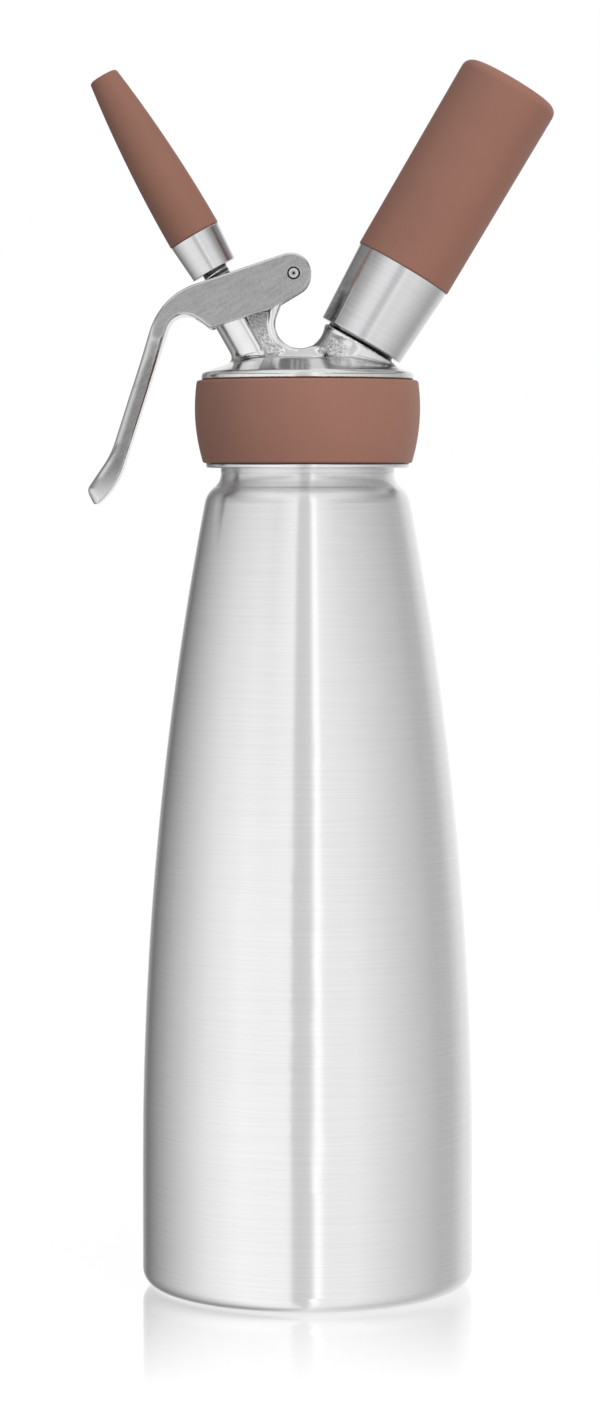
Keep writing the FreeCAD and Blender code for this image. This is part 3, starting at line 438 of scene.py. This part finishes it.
stem_finish = make_threaded_steel("stem_steel", tip_lean, stem_pitch, stem_low, stem_high)
neck_finish = make_threaded_steel("neck_steel", 0.0, neck_pitch, neck_low, neck_low + neck_length)
use_on(stem_finish, "valve_stem")
use_on(neck_finish, "neck_ring")

# %% [markdown]
# ## Blasted lever
#
# The lever's flat sides are blasted to a dull grey, and its edges and its back
# are polished. The sides face along Y, so the normal's Y part tells a side from
# an edge and serves as the mask. The grey is darker on the shank and light on the
# finger pad. A ring round the pin is painted near black, as shade in the gap
# between the pin and the lever.

# %% Blasted lever
edge_facing, side_facing = 0.75, 0.96
shank_low, shank_high, shank_fade = 0.2440, 0.2740, 0.0100
pad_high, pad_low = 0.244, 0.236
pin_gap_shade_radius, pin_gap_shade_fade = 0.0018, 0.0001
lever_relief = 2e-5


def pivot_radius(tree):
    """Distance from the axis of the lever's pin."""
    pivot = Vector(joints["lever_pivot"]["pos_m"])
    centre = calculate_vector(tree, "SUBTRACT", piece_coordinates(tree), pivot)
    flat = calculate_vector(tree, "MULTIPLY", centre, (1, 0, 1))
    return calculate_vector(tree, "LENGTH", flat)


def make_lever_finish():
    """Dull sides with grain, polished edges and painted shade in a ring round the pin."""
    material, tree, shader = start_material("lever_steel", metallic=1.0)
    place = piece_coordinates(tree)
    facing = add_node(tree, "ShaderNodeTexCoord").outputs["Normal"]
    across = calculate(tree, "ABSOLUTE", separate(tree, facing)["Y"])
    side = fade(tree, across, edge_facing, side_facing)
    specks = use_group(tree, grain, {"Vector": place, "Grains per metre": 1900.0})
    along_tip = piece_coordinates(tree, tip_lean)
    strokes = use_group(tree, turning_marks, {"Vector": along_tip, "Lines per metre": 900.0, "Length": 120.0})
    texture = calculate(tree, "MULTIPLY", calculate(tree, "ADD", specks, strokes), 0.5)
    height = separate(tree, place)["Z"]
    shank = inside(tree, height, shank_low, shank_high, shank_fade)
    pad = fade(tree, height, pad_high, pad_low)
    fork = blend(tree, pad, blend(tree, texture, grey(0.30), grey(0.46)), grey(0.62))
    dull = blend(tree, shank, fork, blend(tree, texture, grey(0.21), grey(0.33)))
    colour = blend(tree, side, grey(0.72), dull)
    # A ring round the pin is painted near black, as shade in the gap between pin and lever.
    pin_gap_shade = inside(tree, pivot_radius(tree), 0.0, pin_gap_shade_radius, pin_gap_shade_fade)
    paint(tree, shader, blend(tree, pin_gap_shade, colour, grey(0.03)), between(tree, side, 0.22, 0.46))
    add_bump(tree, shader, calculate(tree, "MULTIPLY", texture, side), lever_relief)
    return material


lever_finish = make_lever_finish()
print("finish for the lever:", lever_finish.name)

# %% [markdown]
# ## Rounded back of the lever
#
# A finger rests on the lever's back, so its long edges are rounded off far more
# there than on the fork. The solid has one small rounding all over. Here a copy of
# it is remeshed into small, even faces. Each point of the back's corners is then
# drawn to an arc, whose radius grows from the fork down to the finger pad. The
# arc's centre comes from two measures: how deep the point lies under the back, and
# how far the side is from the middle.

# %% Rounded back of the lever
voxel = 0.00042
small_radius = 0.0010
back_radius = 0.0029
pad_radius = 0.0034
fork_end, shank_start, pad_start = 0.289, 0.276, 0.240
probe_depth = 0.0022
waist_low, waist_right = 0.266, -0.030
waist_steps, lever_steps = 16, 3
same_point = 1e-6


def triangles_of(mesh, wanted):
    """The triangles of a mesh that pass a test, as a search tree."""
    faces = [tuple(face.vertices) for face in mesh.polygons if wanted(face.normal)]
    return BVHTree.FromPolygons([vert.co for vert in mesh.vertices], faces)


def faces_back(normal):
    """True for the lever's back, which faces away from the bottle and a little up."""
    return abs(normal.y) < 0.3 and 0.4 * normal.z - normal.x > 0.5


def radius_at(height):
    """Radius of the back's rounding at a height."""
    if height > shank_start:
        share = min(1.0, (fork_end - height) / (fork_end - shank_start))
        return small_radius + max(0.0, share) * (back_radius - small_radius)
    share = min(1.0, (shank_start - height) / (shank_start - pad_start))
    return back_radius + share * (pad_radius - back_radius)


def round_corner(vert, back, solid):
    """Draw a point outside the corner's arc onto it."""
    radius = radius_at(vert.co.z)
    middle = Vector((vert.co.x, 0, vert.co.z))
    foot, normal, face, distance = back.find_nearest(middle)
    side = solid.ray_cast(foot - normal * probe_depth, Vector((0, 1, 0)))[3]
    if side is None or side < radius or distance >= radius:
        return
    depth = max(0.0, (foot - middle).dot(normal))
    reach = Vector((radius - depth, abs(vert.co.y) - side + radius))
    if min(reach) <= 0 or reach.length <= radius:
        return
    drawn = reach * (radius / reach.length)
    vert.co -= normal * (reach.x - drawn.x)
    vert.co.y = math.copysign(side - radius + drawn.y, vert.co.y)


def merged_copy(name):
    """A copy of a CAD mesh whose triangles share their points."""
    mesh = nodes[name].data.copy()
    merged = bmesh.new()
    merged.from_mesh(mesh)
    bmesh.ops.remove_doubles(merged, verts=merged.verts[:], dist=same_point)
    merged.to_mesh(mesh)
    merged.free()
    return mesh


def even_faces(piece, size):
    """Remesh a piece into small, even faces."""
    remesh = piece.modifiers.new("even_faces", "REMESH")
    remesh.mode = "VOXEL"
    remesh.voxel_size = size
    evaluated = piece.evaluated_get(bpy.context.evaluated_depsgraph_get())
    mesh = bpy.data.meshes.new_from_object(evaluated)
    piece.modifiers.clear()
    piece.data = mesh
    return mesh


def add_piece(name, mesh):
    """A new object in the scene."""
    piece = bpy.data.objects.new(name, mesh)
    bpy.context.scene.collection.objects.link(piece)
    return piece


def soften(mesh, verts, steps):
    """Smooth some points of a mesh in small steps."""
    axes = {"use_axis_x": True, "use_axis_y": True, "use_axis_z": True}
    for step in range(steps):
        bmesh.ops.smooth_vert(mesh, verts=verts, factor=0.5, **axes)


lever_mesh = merged_copy("lever")
back_tree = triangles_of(lever_mesh, faces_back)
solid_tree = triangles_of(lever_mesh, lambda normal: True)
lever_body = add_piece("lever_body", lever_mesh)
even_mesh = even_faces(lever_body, voxel)

rounded = bmesh.new()
rounded.from_mesh(even_mesh)
for vert in rounded.verts:
    if vert.co.z < fork_end:
        round_corner(vert, back_tree, solid_tree)
above = [vert for vert in rounded.verts if waist_low < vert.co.z < fork_end]
waist = [vert for vert in above if vert.co.x < waist_right]
soften(rounded, waist, waist_steps)
soften(rounded, rounded.verts[:], lever_steps)
rounded.to_mesh(even_mesh)
rounded.free()
even_mesh.materials.clear()
even_mesh.materials.append(lever_finish)
even_mesh.shade_smooth()
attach(lever_body, "lever")
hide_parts("lever")
use_on(lever_finish, "lever")
print("lever faces:", len(even_mesh.polygons))

# %% [markdown]
# ## Cast head
#
# The head is cast, then ground and polished where a wheel can reach. The pockets
# beside the web and the hollow beside the port keep the rough skin of the mould.
# The mask finds them by their place, in coordinates turned along the tube's axis
# and along the port's. Toward the top of the pockets, near the lever, the rough
# skin is painted darker and smoother, as shade. The stud on the port carries the
# holder's thread, whose grooves are painted near black, as shade.

# %% Cast head
web_side, web_fade = 0.0069, 0.0002
pocket_across, pocket_across_fade = (0.0012, 0.0135), 0.0004
pocket_along, pocket_along_fade = (0.0246, 0.0400), 0.0006
patch_across, patch_across_fade = (-0.0070, -0.0030), 0.0015
patch_along, patch_along_fade = (0.0220, 0.0262), 0.0012
speckle_top, speckle_foot = 0.0345, 0.0290
stud_foot, stud_start = 0.0299, 0.0300
stud_pitch = 0.002
polished_skin = 0.02
casting_relief = 1.5e-4


def make_casting_finish():
    """Polished casting with rough pockets painted darker toward their top as shade, and the stud's thread
    with its grooves painted near black as shade.
    """
    material, tree, shader = start_material("cast_steel", metallic=1.0)
    place = piece_coordinates(tree)
    by_tip = separate(tree, piece_coordinates(tree, tip_lean))
    in_web = inside(tree, calculate(tree, "ABSOLUTE", by_tip["Y"]), 0.0, web_side, web_fade)
    across = inside(tree, by_tip["X"], *pocket_across, pocket_across_fade)
    along = inside(tree, by_tip["Z"], *pocket_along, pocket_along_fade)
    pocket = calculate(tree, "MULTIPLY", in_web, calculate(tree, "MULTIPLY", across, along))
    holder_place = piece_coordinates(tree, holder_lean)
    by_holder = separate(tree, holder_place)
    patch = calculate(tree, "MULTIPLY", inside(tree, by_holder["X"], *patch_across, patch_across_fade),
                      inside(tree, by_holder["Z"], *patch_along, patch_along_fade))
    rough = calculate(tree, "MAXIMUM", pocket, patch)
    specks = use_group(tree, grain, {"Vector": place, "Grains per metre": 1300.0})
    patches = use_group(tree, smudge, {"Vector": place, "Patches per metre": 90.0})
    polished = blend(tree, patches, grey(0.66), grey(0.76))
    # Toward its top, near the lever, the pocket's grain is painted darker and smoother, as shade; lower down
    # it has light and dark grains.
    low = fade(tree, by_tip["Z"], speckle_top, speckle_foot)
    pocket_grain_and_shade = blend(tree, low, blend(tree, specks, grey(0.28), grey(0.38)),
                     blend(tree, specks, grey(0.26), grey(0.85)))
    colour = blend(tree, rough, polished, pocket_grain_and_shade)
    stud = fade(tree, by_holder["Z"], stud_foot, stud_start)
    grooves_and_shade = use_group(tree, thread, {"Vector": holder_place, "Pitch": stud_pitch})
    stud_grooves_and_shade = calculate(tree, "MULTIPLY", stud, grooves_and_shade)
    # The stud's grooves are painted near black, as shade; they also lower the surface.
    paint(tree, shader, blend(tree, stud_grooves_and_shade, colour, grey(0.10)), between(tree, rough, 0.17, 0.34))
    skin = calculate(tree, "MULTIPLY", specks, calculate(tree, "ADD", rough, polished_skin))
    add_bump(tree, shader, calculate(tree, "SUBTRACT", skin, stud_grooves_and_shade), casting_relief)
    return material


casting = make_casting_finish()
print("finish for the head:", casting.name)

# %% [markdown]
# ## Softened head
#
# A casting has no sharp inner corners. The part of the head that stands above the
# silicone band is remeshed into small faces and smoothed, so that the web, the
# tube and the port run into the dome. Below the band the solid's own faces stay.

# %% Softened head
band_top = nodes["head_grip_ring"].bound_box[1][2]
head_voxel = 0.00055
plate_rim_start = 0.040
band_margin = 0.0008
head_steps, inner_steps = 2, 4
sharp_angle = math.radians(40)


def half_of(mesh, name, height, keep_upper):
    """The part of a mesh above or below a level, closed by a flat face."""
    half = bmesh.new()
    half.from_mesh(mesh)
    everything = half.verts[:] + half.edges[:] + half.faces[:]
    bmesh.ops.bisect_plane(half, geom=everything, plane_co=(0, 0, height), plane_no=(0, 0, 1),
                           clear_inner=keep_upper, clear_outer=not keep_upper)
    rim = [edge for edge in half.edges if edge.is_boundary]
    bmesh.ops.triangle_fill(half, use_beauty=True, edges=rim)
    bmesh.ops.recalc_face_normals(half, faces=half.faces[:])
    half_mesh = bpy.data.meshes.new(name)
    half.to_mesh(half_mesh)
    half.free()
    return half_mesh


head_mesh = merged_copy("head")
head_body = add_piece("head_body", half_of(head_mesh, "head_upper", band_top, True))
smooth_mesh = even_faces(head_body, head_voxel)
softened = bmesh.new()
softened.from_mesh(smooth_mesh)
above = [vert for vert in softened.verts if vert.co.z > band_top + band_margin]
inner = [vert for vert in above if vert.co.xy.length < plate_rim_start]
soften(softened, above, head_steps)
soften(softened, inner, inner_steps)
softened.from_mesh(half_of(head_mesh, "head_lower", band_top, False))
softened.to_mesh(smooth_mesh)
softened.free()
smooth_mesh.materials.clear()
smooth_mesh.materials.append(casting)
smooth_mesh.set_sharp_from_angle(angle=sharp_angle)
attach(head_body, "head")
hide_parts("head")
use_on(casting, "head")
print("head faces:", len(smooth_mesh.polygons))

# %% [markdown]
# ## Brown silicone and its kin
#
# The band round the head, the holder's grip and the nozzle are a warm matt brown.
# The grip's and the nozzle's browns are painted a little darker, as shade.
# Silicone has a soft, wide sheen and a fine grain. The seals are dark rubber.

# %% Silicone, nozzle and rubber
soft_relief = 1.2e-5
dark_share, light_share = 0.93, 1.03
roughness_swing = 0.04
soft_sheen = 0.4


def make_soft_finish(name, colour, roughness, lean=0.0):
    """Matt silicone, plastic or rubber."""
    material, tree, shader = start_material(name)
    place = piece_coordinates(tree, lean)
    specks = use_group(tree, grain, {"Vector": place, "Grains per metre": 2200.0})
    patches = use_group(tree, smudge, {"Vector": place, "Patches per metre": 40.0})
    paint(tree, shader, blend(tree, patches, shaded(colour, dark_share), shaded(colour, light_share)),
          between(tree, patches, roughness - roughness_swing, roughness + roughness_swing))
    shader.inputs["Specular IOR Level"].default_value = soft_sheen
    add_bump(tree, shader, specks, soft_relief)
    return material


silicone = make_soft_finish("brown_silicone", (0.287, 0.136, 0.098), 0.55)
# The nozzle's and the grip's copies of the brown are painted darker, as shade.
shaded_nozzle_finish = make_soft_finish("brown_nozzle", (0.245, 0.113, 0.078), 0.50, lean=tip_lean)
shaded_grip_finish = make_soft_finish("brown_grip", (0.270, 0.126, 0.090), 0.55, lean=holder_lean)
rubber = make_soft_finish("seal_rubber", (0.035, 0.033, 0.033), 0.6)
use_on(silicone, "head_grip_ring")
use_on(shaded_grip_finish, "holder_grip")
use_on(shaded_nozzle_finish, "tip_nozzle")
use_on(rubber, "head_gasket", "valve_seal", "stem_oring", "tip_seal", "charger_seal", "check_valve")

# %% [markdown]
# ## Pivot pin
#
# The pin's end shows as a bright disc. Its edge and the small dimple where it was
# centred are painted dark, as shade. Both are masks over the distance from the
# pin's axis.

# %% Pivot pin
pin_edge, pin_end = 0.0014, 0.002
dimple_radius = 0.0003
pin_fade = 0.0001
pin_relief = 4e-6


def make_pin_finish():
    """Bright pin with painted shade at its edge and in its dimple."""
    material, tree, shader = start_material("pin_steel", metallic=1.0)
    radius = pivot_radius(tree)
    edge = inside(tree, radius, pin_edge, pin_end, pin_fade)
    dimple = inside(tree, radius, 0.0, dimple_radius, pin_fade)
    # The pin's edge and its dimple are painted dark, as shade.
    pin_edge_and_dimple_shade = calculate(tree, "MAXIMUM", edge, dimple)
    specks = use_group(tree, grain, {"Vector": piece_coordinates(tree), "Grains per metre": 3000.0})
    paint(tree, shader, blend(tree, pin_edge_and_dimple_shade, grey(0.62), grey(0.08)), between(tree, specks, 0.22, 0.32))
    add_bump(tree, shader, specks, pin_relief)
    return material


use_on(make_pin_finish(), "lever_pin")

# %% [markdown]
# ## Valve spring
#
# The spring lifts the valve and is squeezed when the lever is pressed. A wire
# circle that is spun round the axis, and moved along it at each step, makes a
# coil, which hangs on the head.

# %% Valve spring
spring_foot = 0.03055
spring_top = 0.04615
spring_radius = 0.005
wire_radius = 0.0005
spring_turns = 5
steps_per_turn = 36
wire_sides = 12

to_tip = Matrix.Translation(crossing) @ Matrix.Rotation(tip_lean, 4, "Y")
coil = bmesh.new()
upright = Matrix.Rotation(math.radians(90), 4, "X")
start = Matrix.Translation((spring_radius, 0, spring_foot)) @ upright
bmesh.ops.create_circle(coil, cap_ends=False, segments=wire_sides, radius=wire_radius, matrix=start)
spring_steps = spring_turns * steps_per_turn
bmesh.ops.spin(
    coil,
    geom=coil.verts[:] + coil.edges[:],
    cent=(0, 0, 0),
    axis=(0, 0, 1),
    dvec=(0, 0, (spring_top - spring_foot) / spring_steps),
    angle=math.radians(360 * spring_turns),
    steps=spring_steps,
    use_merge=False,
    use_duplicate=False,
)
bmesh.ops.holes_fill(coil, edges=[edge for edge in coil.edges if edge.is_boundary], sides=0)
bmesh.ops.recalc_face_normals(coil, faces=coil.faces[:])
bmesh.ops.transform(coil, matrix=to_tip, verts=coil.verts[:])
spring_mesh = bpy.data.meshes.new("spring_coil")
coil.to_mesh(spring_mesh)
coil.free()
spring = add_piece("spring_coil", spring_mesh)
spring_mesh.materials.append(turned_finish)
spring_mesh.shade_smooth()
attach(spring, "head")
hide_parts("valve_spring")
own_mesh(spring)
print("spring coils:", spring_turns, "faces:", len(spring_mesh.polygons))

# %% [markdown]
# ## Floor
#
# The dispenser stands on a white, slightly glossy table, which shows a faint
# mirror image of its foot and a soft shadow. The mirror fades away from the foot.
# Part of the white is light that only the camera sees, so the floor is as white
# as the background and still takes the shadow.

# %% Floor
floor_size, floor_drop = 8.0, 0.0003
glow_strength, glow_share = 1.17, 0.7
mirror_end, mirror_start, mirror_share = 0.15, 0.045, 0.5
table_grey, table_roughness, mirror_roughness = 0.80, 0.9, 0.03

bpy.ops.mesh.primitive_plane_add(size=floor_size, location=(0, 0, -floor_drop))
floor = bpy.context.object
floor.name = "floor"
floor.visible_glossy = False
floor_material, tree, shader = start_material("white_table")
shader.inputs["Base Color"].default_value = grey(table_grey)
shader.inputs["Roughness"].default_value = table_roughness
shader.inputs["Specular IOR Level"].default_value = 0.0
to_camera = add_node(tree, "ShaderNodeLightPath").outputs["Is Camera Ray"]
glow = add_node(tree, "ShaderNodeEmission", {
    "Color": grey(1.0), "Strength": calculate(tree, "MULTIPLY", to_camera, glow_strength),
})
lifted = add_node(tree, "ShaderNodeMixShader", {"Fac": glow_share, 1: shader.outputs[0], 2: glow.outputs[0]})
mirror = add_node(tree, "ShaderNodeBsdfAnisotropic", {"Color": grey(1.0), "Roughness": mirror_roughness})
from_foot = calculate_vector(tree, "LENGTH", piece_coordinates(tree))
nearness = fade(tree, from_foot, mirror_end, mirror_start, 0.0, mirror_share)
polish = calculate(tree, "MULTIPLY", nearness, to_camera)
table = add_node(tree, "ShaderNodeMixShader", {"Fac": polish, 1: lifted.outputs[0], 2: mirror.outputs[0]})
tree.links.new(table.outputs[0], tree.nodes["Material Output"].inputs["Surface"])
floor.data.materials.append(floor_material)
print("floor size in metres:", floor_size)

# %% [markdown]
# ## Studio
#
# Metal looks like what stands round it. The surroundings here are a white room
# with bright and dark panels: a bright strip just right of the camera, a greyer
# one left of it, and dark edges far out on both sides, which draw the outline of
# the bottle. They are a ramp over the compass direction, in the world's own
# shader, with 0 degrees at the camera and plus to the right. A grey hood hangs
# above eye level, everywhere but in front, under a white ceiling. The camera
# itself sees plain white. One soft lamp stands to the front right, and metal
# doesn't mirror it.

# %% Studio
panel_greys = {
    -180: 1.0,
    -172: 1.0,
    -166: 0.45,
    -150: 0.19,
    -120: 0.52,
    -75: 1.05,
    -48: 1.22,
    -12: 1.15,
    -10: 0.76,
    3: 0.82,
    5.5: 1.40,
    9: 1.40,
    11: 1.08,
    35: 1.10,
    105: 0.60,
    122: 0.60,
    140: 0.85,
    170: 1.0,
}
hood_low, hood_high, hood_fade, hood_grey = 0.43, 0.51, 0.10, 0.25
front_edge, side_edge = math.radians(12), math.radians(35)
ceiling_edge, ceiling_full = 0.75, 0.9

world = bpy.data.worlds.new("studio")
bpy.context.scene.world = world
world.use_nodes = True
tree = world.node_tree
tree.nodes.clear()
parts = separate(tree, add_node(tree, "ShaderNodeTexCoord").outputs["Generated"])
toward_camera = calculate(tree, "MULTIPLY", parts["Y"], -1.0)
compass = calculate(tree, "ARCTAN2", parts["X"], toward_camera)
turn_share = calculate(tree, "MULTIPLY_ADD", compass, 1 / (2 * math.pi), 0.5)
panels = ramp(tree, turn_share, [
    (degrees / 360 + 0.5, grey(value)) for degrees, value in panel_greys.items()
])
hood = inside(tree, parts["Z"], hood_low, hood_high, hood_fade)
side_walls = fade(tree, calculate(tree, "ABSOLUTE", compass), front_edge, side_edge)
room = blend(tree, calculate(tree, "MULTIPLY", hood, side_walls), panels, grey(hood_grey))
overhead = fade(tree, parts["Z"], ceiling_edge, ceiling_full)
ceiling = blend(tree, overhead, room, grey(1.0))
surroundings = add_node(tree, "ShaderNodeBackground", {"Color": ceiling, "Strength": 1.0})
white = add_node(tree, "ShaderNodeBackground", {"Color": grey(1.0), "Strength": 1.0})
seen = add_node(tree, "ShaderNodeLightPath").outputs["Is Camera Ray"]
either = add_node(tree, "ShaderNodeMixShader", {"Fac": seen, 1: surroundings.outputs[0], 2: white.outputs[0]})
add_node(tree, "ShaderNodeOutputWorld", {"Surface": either.outputs[0]})

lamp_place = Vector((1.1, -1.4, 0.5))
lamp_target = Vector((0, 0, 0.25))
lamp_width, lamp_height = 0.8, 1.2
lamp_watts = 20.0

lamp_data = bpy.data.lights.new("soft_lamp_right", "AREA")
lamp_data.shape = "RECTANGLE"
lamp_data.size = lamp_width
lamp_data.size_y = lamp_height
lamp_data.energy = lamp_watts
lamp = bpy.data.objects.new("soft_lamp_right", lamp_data)
lamp.location = lamp_place
lamp.rotation_euler = (lamp_target - lamp_place).to_track_quat("-Z", "Y").to_euler()
lamp.visible_glossy = False
bpy.context.scene.collection.objects.link(lamp)

bpy.context.scene.view_settings.view_transform = "Standard"
print("panels round the room:", len(panel_greys), "lamp:", lamp.name)
